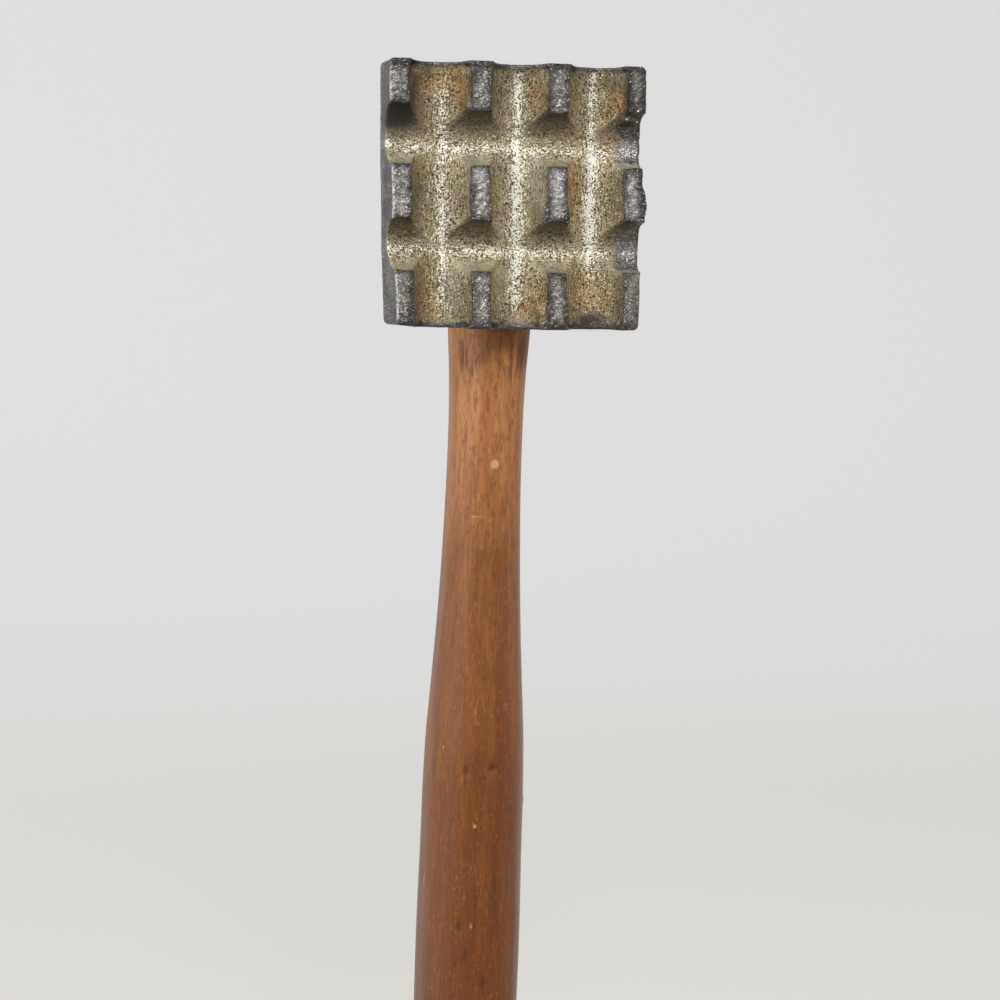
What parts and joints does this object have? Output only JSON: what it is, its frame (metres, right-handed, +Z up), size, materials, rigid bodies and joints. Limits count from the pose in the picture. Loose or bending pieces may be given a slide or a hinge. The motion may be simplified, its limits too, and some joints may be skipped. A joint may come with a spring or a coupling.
{
  "type": "meat tenderizer",
  "caption": "Hand mallet for meat: a cast aluminium head with a grid of upstanding teeth on its face and a plain poll, wedged on an oval wooden handle.",
  "frame": {"origin": "centre of the handle's flat butt end", "axes": "+Z up along the handle to the head, +Y from the striking face to the poll, +X across the face"},
  "size_m": [0.0642, 0.05, 0.3058],
  "materials": {
    "oiled_hickory": "worn oiled satin, brown, straight grain",
    "cast_aluminium": "old sand casting, dark battered tooth tops and speckled olive-tan grooves",
    "wedge_wood": "sawn end grain, dulled",
    "wedge_steel": "dark, lightly rusted steel"
  },
  "bodies": {
    "root": {"handle": "oiled_hickory", "head_casting": "cast_aluminium", "wooden_wedge": "wedge_wood", "steel_wedge_front": "wedge_steel", "steel_wedge_rear": "wedge_steel"}
  },
  "joints": []
}
